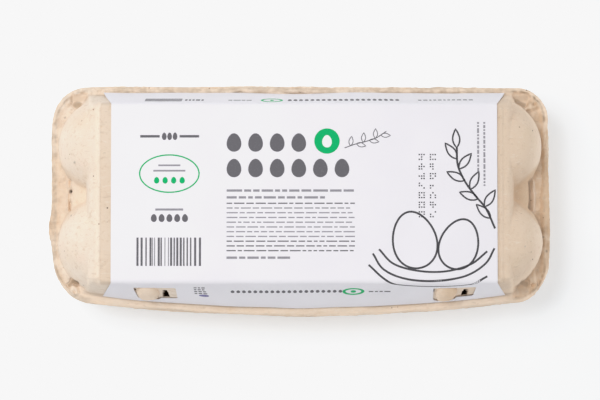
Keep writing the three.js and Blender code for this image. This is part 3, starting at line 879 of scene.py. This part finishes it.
def knob(name, lock_x, low, narrowing, brown, bright, seed, material):
    """A lock knob: a rounded tongue of pulp standing out of the hood's front wall, narrower at its foot."""
    proud, sunk = 2.9, 1.6
    rings, around = 22, 84
    foot = front_foot_y(lock_x)
    run = CREASE_FRONT_Y - foot
    slant = math.hypot(run, RISE)
    up = np.array([0, run, RISE]) / slant
    out = np.array([0, -RISE, run]) / slant
    centre_z = (low + KNOB_HIGH) / 2
    centre = np.array([lock_x, foot + (centre_z - FLANGE_Z) * run / RISE, centre_z])
    half_height = (KNOB_HIGH - low) / 2 * slant / RISE
    angle = np.linspace(0, 2 * math.pi, around, endpoint=False)[None, :]
    reach = np.sqrt(np.linspace(0.0004, 1, rings))[::-1, None]
    high_share = np.sign(np.sin(angle)) * np.abs(np.sin(angle)) ** (2 / 2.5)
    width = KNOB_HALF_WIDTH * (1 - narrowing * (0.5 - 0.5 * high_share) ** 1.5)
    across = width * np.sign(np.cos(angle)) * np.abs(np.cos(angle)) ** (2 / 2.8) * reach
    along = half_height * high_share * reach
    relief = 0.14 * ripple(across, along, 4, seed) + 0.06 * ripple(across, along, 1.6, seed + 1)
    swell = proud * np.sqrt(np.clip(1 - reach**3.2, 0, 1)) * (1 - 0.18 * (along / half_height) ** 2)
    crease = 0.35 * np.exp(-((across - 0.22 * width) ** 2) / 1.2) * (1 - reach**4)
    height = swell - crease + relief * (1 - reach**6)
    sideways = across[..., None] * np.array([1.0, 0, 0])
    front = centre + sideways + along[..., None] * up + height[..., None] * out
    points = np.concatenate([(front[0] - sunk * out)[None], front]).reshape(-1, 3)
    flat = np.stack([across, along], 2)
    uv = np.concatenate([(flat[0] * 1.3)[None], flat]).reshape(-1, 2)
    pulp_piece(name, points, tube_grid(rings + 1, around), uv, material, brown, bright)


# Label. Its flat coordinates are x and s: s is y on the top panel, and runs on down the flaps.


def fold_path(x, s):
    """Where a place on the sheet lies, in y and z."""
    down_front = smooth_max(CREASE_FRONT_Y - s, 0, CREASE_BEND)
    down_rear = smooth_max(s - CREASE_REAR_Y, 0, CREASE_BEND)
    front_run = CREASE_FRONT_Y - front_foot_y(x)
    rear_run = REAR_FOOT_Y - CREASE_REAR_Y
    front_slant = np.hypot(front_run, RISE)
    rear_slant = math.hypot(rear_run, RISE)
    y = s + down_front * (1 - front_run / front_slant) - down_rear * (1 - rear_run / rear_slant)
    return y, PANEL_Z - down_front * RISE / front_slant - down_rear * RISE / rear_slant


def on_label(x, s, lift):
    """Points lying lift above the sheet, which is a little wavy and lifts off the hood down its flaps."""
    step = 0.02
    (y0, z0), (y, z), (y1, z1) = (fold_path(x, s + move) for move in (-step, 0, step))
    dy, dz = y1 - y0, z1 - z0
    size = np.hypot(dy, dz)
    front = np.clip((CREASE_FRONT_Y - s) / 32, 0, 1)
    rear = np.clip((s - CREASE_REAR_Y) / 31, 0, 1)
    wave = 0.10 * ripple(x, s, 48, 201) + 0.05 * ripple(x, s, 19, 202)
    out = lift + LABEL_LIFT + wave * (1 + front + rear) + 0.6 * front**2 + 0.9 * rear**2
    return np.stack([x, y - out * dz / size, z + out * dy / size], -1)


def label_sheet(material):
    """The sheet. Shares across it are -2 to -1 on the front flap, up to 1 on top and up to 2 behind."""
    shares = spaced([(-2, 0.045), (-1.12, 0.012), (-0.955, 0.045), (0.955, 0.012), (1.12, 0.045), (2, 0)])
    share, u = np.meshgrid(shares, np.linspace(0, 1, 125))
    flap = np.clip(np.abs(share) - 1, 0, 1)
    top = CREASE_FRONT_Y + (np.clip(share, -1, 1) + 1) / 2 * (CREASE_REAR_Y - CREASE_FRONT_Y)
    x = LABEL_LEFT_X + u * (LABEL_RIGHT_X - LABEL_LEFT_X) + LABEL_FLARE * flap * (2 * u - 1)
    run = np.where(share < 0, CREASE_FRONT_Y - front_foot_y(x), REAR_FOOT_Y - CREASE_REAR_Y)
    s = top + np.sign(share) * flap * np.hypot(run, RISE) * (1 - LABEL_CLEARANCE / RISE)
    points = np.concatenate([on_label(x, s, lift).reshape(-1, 3) for lift in (0, -PAPER_THICKNESS)])
    index = np.arange(x.size).reshape(x.shape)
    quads = np.stack([index[:-1, :-1], index[1:, :-1], index[1:, 1:], index[:-1, 1:]], 2).reshape(-1, 4)
    border = border_of(index)
    faces = [*quads.tolist(), *(quads[:, ::-1] + x.size).tolist(), *side_quads(border, border + x.size)]
    flat = np.stack([x.ravel(), s.ravel()], 1)
    uv = np.concatenate([flat, flat * 0.25 + [0, 150]])
    piece = new_piece("label_sheet", points, faces, uv, material, "label")
    piece.data.set_sharp_from_angle(angle=math.radians(50))
    return piece


def window_outline(lock_x, knob_low):
    """The opening in the front flap at a lock, in x and z: a rounded box with a bay below for the knob."""
    left, right = lock_x - 6.6, lock_x + 14.0
    low, high = 43.8, 60.0
    radius = 1.2
    arcs = (
        (lock_x, low, KNOB_HALF_WIDTH, low - knob_low + 0.1, 180, 360, 24),
        (right - radius, low + radius, radius, radius, -90, 0, 5),
        (right - radius, high - radius, radius, radius, 0, 90, 5),
        (left + radius, high - radius, radius, radius, 90, 180, 5),
    )
    outline = []
    for centre_x, centre_z, across, up, start, end, steps in arcs:
        for i in range(steps + 1):
            angle = math.radians(start + (end - start) * i / steps)
            outline.append((centre_x + across * math.cos(angle), centre_z + up * math.sin(angle)))
    return outline


def cut_windows(piece):
    """Cuts the openings out of the sheet. The cutters go with their meshes, and no modifier stays."""
    cutters = []
    for lock_x, knob_low in zip(LOCK_XS, KNOB_LOWS):
        outline = window_outline(lock_x, knob_low)
        points = [(x, y, z) for y in (CREASE_FRONT_Y + 0.5, -62.0) for x, z in outline]
        cutter = new_mesh("opening", points, tube_grid(2, len(outline)))
        modifier = piece.modifiers.new("opening", "BOOLEAN")
        modifier.operation = "DIFFERENCE"
        modifier.solver = "EXACT"
        modifier.object = cutter
        cutters.append(cutter.data)
    bpy.context.view_layer.update()
    evaluated = piece.evaluated_get(bpy.context.evaluated_depsgraph_get())
    whole = piece.data
    piece.data = bpy.data.meshes.new_from_object(evaluated)
    piece.modifiers.clear()
    for mesh in (whole, *cutters):
        bpy.data.meshes.remove(mesh)


# Print on the label: generic marks in its flat coordinates.


def turned(x, s, a, b, turn):
    """Points at (a, b) from a place on the sheet, turned about it."""
    c, d = math.cos(turn), math.sin(turn)
    return np.stack([x + c * a - d * b, s + d * a + c * b], 1)


def oval(x, s, half_x, half_s, steps):
    angle = np.linspace(0, 2 * math.pi, steps, endpoint=False)
    return np.stack([x + half_x * np.cos(angle), s + half_s * np.sin(angle)], 1)


def egg_outline(x, s, width, height, turn=0.0, steps=40):
    """An egg with its point up, turned by an angle."""
    angle = np.linspace(0, 2 * math.pi, steps, endpoint=False)
    across = np.cos(angle) * width / 2 * (1 - 0.13 * np.sin(angle))
    return turned(x, s, across, np.sin(angle) * height / 2, turn)


def leaf(x, s, length, width, turn, steps=12):
    """A pointed leaf outline from its foot, turned by an angle."""
    t = np.linspace(0, 1, steps)
    side = np.sin(math.pi * t**0.85) * width / 2
    along = np.concatenate([t, t[::-1][1:-1]]) * length
    return turned(x, s, along, np.concatenate([-side, side[::-1][1:-1]]), turn)


def curve(points, steps=14):
    """A smooth path through points."""
    p = np.asarray(points, float)
    p = np.concatenate([[2 * p[0] - p[1]], p, [2 * p[-1] - p[-2]]])
    t = np.linspace(0, 1, steps, endpoint=False)[:, None]
    path = []
    for a, b, c, d in zip(p, p[1:], p[2:], p[3:]):
        square, cube = 2 * a - 5 * b + 4 * c - d, 3 * b - a - 3 * c + d
        path.append(0.5 * (2 * b + (c - a) * t + square * t**2 + cube * t**3))
    return np.concatenate([*path, p[-2:-1]])


class Ink:
    """Thin printed shapes of one colour, gathered into one mesh."""

    def __init__(self, lift, rng):
        self.lift = lift
        self.rng = rng
        self.points = []
        self.faces = []
        self.count = 0

    def add(self, flat, border, cover):
        """A prism over flat points: the faces in cover are its top, and the loops in border its sides."""
        for lift in (self.lift, -INK_DEPTH):
            self.points.append(on_label(flat[:, 0], flat[:, 1], lift))
        top, under = self.count, self.count + len(flat)
        self.faces.extend([[top + i for i in face] for face in cover])
        self.faces.extend([[under + i for i in face[::-1]] for face in cover])
        for loop in border:
            for a, b in zip(loop, loop[1:] + loop[:1]):
                self.faces.append([top + a, under + a, under + b, top + b])
        self.count += 2 * len(flat)

    def blob(self, outline):
        """A filled convex outline, counter-clockwise."""
        loop = list(range(len(outline)))
        self.add(outline, [loop], [loop])

    def eggs(self, count, pitch, *first, steps=40, turn=0.0):
        """A row of eggs at even distances. The first one's place, width and height are in first."""
        x, *rest = first
        for i in range(count):
            self.blob(egg_outline(x + pitch * i, *rest, turn, steps))

    def stroke(self, path, width, closed=False):
        """A line of even width along a path."""
        if closed:
            along = np.roll(path, -1, 0) - np.roll(path, 1, 0)
        else:
            along = np.gradient(path, axis=0)
        along /= np.linalg.norm(along, axis=1)[:, None]
        across = np.stack([-along[:, 1], along[:, 0]], 1) * width / 2
        n = len(path)
        near, far = list(range(n)), list(range(2 * n - 1, n - 1, -1))
        cover = [[i, (i + 1) % n, n + (i + 1) % n, n + i] for i in range(n if closed else n - 1)]
        border = [near, far] if closed else [near + far]
        self.add(np.concatenate([path - across, path + across]), border, cover)

    def bar(self, x0, x1, s0, s1):
        """An upright box of ink."""
        steps = max(2, round(abs(x1 - x0) / 4) + 1)
        path = np.stack([np.linspace(x0, x1, steps), np.full(steps, (s0 + s1) / 2)], 1)
        self.stroke(path, abs(s1 - s0))

    def words(self, x0, x1, s0, s1, lengths=(1.6, 5.5), gap=0.9):
        """A line of dashes as long as words."""
        while x0 < x1 - lengths[0]:
            end = min(x0 + self.rng.uniform(*lengths), x1)
            self.bar(x0, end, s0, s1)
            x0 = end + gap

    def upright_bars(self, x0, x1, s0, s1, unit=0.33):
        """Plain upright bars of uneven width, which stand for nothing."""
        while x0 < x1 - 3 * unit:
            width = unit * self.rng.integers(1, 4)
            self.bar(x0, x0 + width, s0, s1)
            x0 += width + unit * self.rng.integers(1, 5)

    def piece(self, name, material):
        points = np.concatenate(self.points)
        new_piece(name, points, self.faces, points[:, :2], material)


def headline(grey, green, white):
    """Ten eggs in two rows, a green disc beside the first row and a fine sprig after it."""
    for count, s in ((4, 27.4), (6, 15.1)):
        grey.eggs(count, 10.4, -31.8, s, 7.0, 8.9)
    green.blob(oval(13.0, 28.1, 6.1, 6.1, 64))
    white.eggs(1, 0, 13.0, 28.0, 4.6, 6.0)
    stem = curve([(21.5, 24.8), (26.5, 26.6), (32, 28.0), (37, 29.8), (41.6, 32.8)])
    grey.stroke(stem, 0.42)
    leaves = ((0.16, 1.45), (0.30, -0.25), (0.44, 1.5), (0.58, -0.15), (0.72, 1.55), (0.86, -0.05))
    for share, turn in leaves:
        foot = stem[int(share * (len(stem) - 1))]
        grey.stroke(leaf(*foot, 4.6, 2.0, turn), 0.36, closed=True)


def left_block(grey, light, green):
    """A small ornament, a green ring round bars and eggs, five small eggs and a field of plain bars."""
    grey.bar(-77.0, -67.6, 29.8, 31.0)
    grey.bar(-58.0, -48.6, 29.8, 31.0)
    grey.eggs(3, 2.6, -65.4, 30.4, 2.2, 3.6, steps=24)
    green.stroke(oval(-62.9, 12.4, 14.3, 9.0, 90), 0.62, closed=True)
    light.bar(-68.2, -57.6, 16.0, 16.8)
    light.bar(-70.6, -55.2, 13.4, 14.2)
    green.eggs(4, 4.1, -69.0, 9.2, 2.5, 3.2, steps=24)
    light.bar(-69.6, -56.2, -5.4, -4.4)
    grey.eggs(5, 3.75, -70.3, -9.0, 2.8, 3.8, steps=28)
    grey.upright_bars(-78.6, -47.3, -32.0, -18.4)


def small_lines(light, grey):
    """Lines of dashes in place of small writing."""
    left = -35.3
    light.words(left, 26.7, 3.7, 4.8, (2.2, 7.5), 1.0)
    light.words(left, 12.0, 0.4, 1.5, (2.2, 7.5), 1.0)
    for row in range(11):
        s = -1.6 - 2.28 * row
        ink = grey if row in (0, 8, 9, 10) else light
        ink.words(left, 26.4, s - 0.55, s)
    light.words(left, -4.8, -28.6, -27.5, (2.2, 7.0), 1.0)


def side_marks(dark, light):
    """Two columns of stamped dots and two of fine dashes, running down the sheet."""
    dot, pitch = 0.65, 1.15
    for x, low in ((58.6, -6.0), (64.0, -6.8)):
        s = 21.9
        while s > low:
            for i, j in np.ndindex(3, 3):
                if dark.rng.random() < 0.72:
                    dot_x, dot_s = x - 1.5 + pitch * i, s - pitch * j
                    dark.bar(dot_x, dot_x + dot, dot_s - dot, dot_s)
            s -= 4.6
    for x, low in ((85.8, 14.2), (88.8, 6.9)):
        s = 37.3
        while s > low:
            length = light.rng.uniform(0.7, 2.4)
            light.bar(x - 0.45, x + 0.45, s - length, s)
            s -= length + 0.6


def line_drawing(dark):
    """A generic line drawing: two eggs in a nest of long strokes, under a bending sprig."""
    width = 0.95
    dark.stroke(egg_outline(55.0, -19.5, 21.0, 27.5, 0.22, 72), width, closed=True)
    dark.stroke(egg_outline(76.5, -21.5, 18.5, 24.5, -0.3, 72), width, closed=True)
    nest = (
        [(35, -26), (40, -33.5), (50, -38.0), (64, -39.2), (79, -37.0), (89, -31.0), (93.5, -23.5)],
        [(38, -24.0), (45, -31.0), (57, -34.4), (70, -34.6), (82, -31.2), (90, -25.0)],
        [(33, -31.5), (41, -38.6), (50, -42.8), (63, -44.6), (78, -43.2), (90, -37.0)],
    )
    for points in nest:
        dark.stroke(curve(points), width)
    stem = curve([(93.8, -14.0), (89.5, -4.5), (84.6, 1.5), (79.5, 8.5), (76.0, 16.5), (75.5, 25.0)])
    dark.stroke(stem, width)
    leaves = ((0.10, 0.4), (0.24, -1.2), (0.36, 0.5), (0.50, -1.1), (0.62, 0.6), (0.76, -1.0), (0.88, 0.6))
    for share, turn in leaves:
        i = int(share * (len(stem) - 1))
        way = math.atan2(*(stem[i + 1] - stem[i])[::-1])
        dark.stroke(leaf(*stem[i], 9.5, 3.6, way + turn), width * 0.8, closed=True)
    dark.stroke(leaf(*stem[-1], 9.0, 3.4, math.pi * 0.52), width * 0.8, closed=True)


def flap_marks(grey, green, violet):
    """Marks on both flaps, in distances down from the creases."""
    front, rear = CREASE_FRONT_Y, CREASE_REAR_Y
    grey.eggs(20, 2.76, -32.8, front - 11.6, 1.8, 3.6, steps=20)
    green.stroke(oval(26.0, front - 12.0, 4.6, 3.9, 48), 1.5, closed=True)
    green.eggs(1, 0, 26.0, front - 12.0, 2.6, 3.4, steps=20)
    grey.words(33.5, 46.0, front - 13.0, front - 11.6, (1.2, 3.2), 0.8)
    for row in range(4):
        s = front - 7.2 - 3.0 * row
        grey.words(-51.5, -45.0, s, s + 1.4, (0.9, 2.0), 0.6)
    violet.eggs(1, 0, -47.1, front - 18.6, 3.0, 5.0, turn=1.5, steps=28)
    for row in range(3):
        s = rear + 6.4 + 2.9 * row
        grey.bar(-75.5, -57.5, s, s + 1.8)
    grey.words(-56.0, -47.0, rear + 8.0, rear + 12.0, (0.9, 2.0), 0.7)
    grey.words(-34.9, -22.3, rear + 9.4, rear + 11.0, (1.4, 3.6), 0.5)
    green.stroke(oval(-13.7, rear + 10.2, 4.8, 4.6, 48), 1.2, closed=True)
    green.eggs(1, 0, -13.7, rear + 10.2, 1.8, 3.4, steps=20)
    grey.eggs(20, 2.76, -5.0, rear + 10.5, 1.9, 5.6, steps=20)
    grey.words(57.6, 85.0, rear + 9.2, rear + 11.4, (1.0, 2.2), 0.9)


def print_label():
    rng = np.random.default_rng(7)
    inks = {name: Ink(WHITE_LIFT if name == "white" else INK_LIFT, rng) for name in INKS}
    dark, grey, light, green, violet, white = inks.values()
    headline(grey, green, white)
    left_block(grey, light, green)
    small_lines(light, grey)
    side_marks(dark, light)
    line_drawing(dark)
    flap_marks(grey, green, violet)
    for name, ink in inks.items():
        ink.piece(f"print_{name}", ink_material(f"ink_{name}", INKS[name]))


# Floor, light and camera.


def floor():
    half = 3000.0
    corners = [(-half, -half, 0), (half, -half, 0), (half, half, 0), (-half, half, 0)]
    plane = new_mesh("floor", corners, [[0, 1, 2, 3]])
    nodes = Nodes(bpy.data.materials.new("floor"))
    nodes.put(nodes.shader, {"Emission Color": (1, 1, 1, 1), "Emission Strength": 0.265})
    colour = nodes.mix(nodes.noise(3, 2, 0.5), (0.77, 0.80, 0.83, 1), (0.78, 0.81, 0.84, 1))
    plane.data.materials.append(nodes.finish(colour, 0.9, 0.0))


def aimed(name, data, place, target):
    """A light or a camera at a place, turned to look at a target."""
    made = new_object(name, data)
    made.location = place
    made.rotation_euler = (Vector(target) - Vector(place)).to_track_quat("-Z", "Y").to_euler()
    return made


def lights():
    for name, (place, target, size, power) in LIGHTS.items():
        lamp = bpy.data.lights.new(name, "AREA")
        lamp.shape, lamp.size, lamp.energy = "DISK", size, power
        aimed(name, lamp, place, target)


def world():
    """Soft light from all round, brighter from the upper left and back, over a pale surround."""
    made = bpy.data.worlds.new("studio")
    bpy.context.scene.world = made
    nodes = Nodes(made, "Background", "Generated")
    brightest = Vector((-0.5, 0.5, 0.7)).normalized()
    toward = nodes.node("ShaderNodeVectorMath", {0: nodes.place, 1: brightest}, operation="DOT_PRODUCT")
    level = nodes.ramp(toward.outputs["Value"], -1.0, 1.0, 0.26, 0.58, "LINEAR")
    nodes.put(nodes.shader, {"Strength": level, "Color": (1, 1, 1, 1)})
    seen = nodes.node("ShaderNodeBackground", {"Color": (0.9, 0.9, 0.9, 1)})
    path = nodes.node("ShaderNodeLightPath")
    shaders = {1: nodes.shader.outputs["Background"], 2: seen.outputs["Background"]}
    choose = nodes.node("ShaderNodeMixShader", {0: path.outputs["Is Camera Ray"], **shaders})
    nodes.put(nodes.tree.nodes["World Output"], {"Surface": choose.outputs["Shader"]})


def camera():
    """Straight above the carton, a little to its front, with a long lens."""
    made = bpy.data.cameras.new("camera")
    made.lens, made.clip_start, made.clip_end = 106.1, 0.05, 20.0
    bpy.context.scene.camera = aimed("camera", made, (0, -0.0297, 0.918), (0, 0.0003, 0.05))


def tone():
    """Plain tones, with the brightest ones rounded off so that the floor is an even pale grey."""
    view = bpy.context.scene.view_settings
    view.view_transform = "Standard"
    view.use_curve_mapping = True
    mapping = view.curve_mapping
    mapping.extend = "HORIZONTAL"
    line = mapping.curves[3]
    line.points[1].location = (1.0, 0.93)
    line.points.new(0.88, 0.88)
    for point in line.points:
        point.handle_type = "VECTOR"
    mapping.update()


def main():
    pulp = pulp_material()
    lid(pulp)
    tray(pulp)
    hinge(pulp)
    # The right knob's extra brown is painted shade; each bright pair is a painted highlight streak on its
    # lit side.
    knob("knob_left", LOCK_XS[0], KNOB_LOWS[0], 0.1, 0.5, (LOCK_XS[0] - 0.5, 0.7), 161, pulp)
    knob("knob_right", LOCK_XS[1], KNOB_LOWS[1], 0.3, 0.95, (LOCK_XS[1] - 4.8, 0.6), 171, pulp)
    cut_windows(label_sheet(paper_material()))
    print_label()
    floor()
    world()
    lights()
    camera()
    tone()


main()
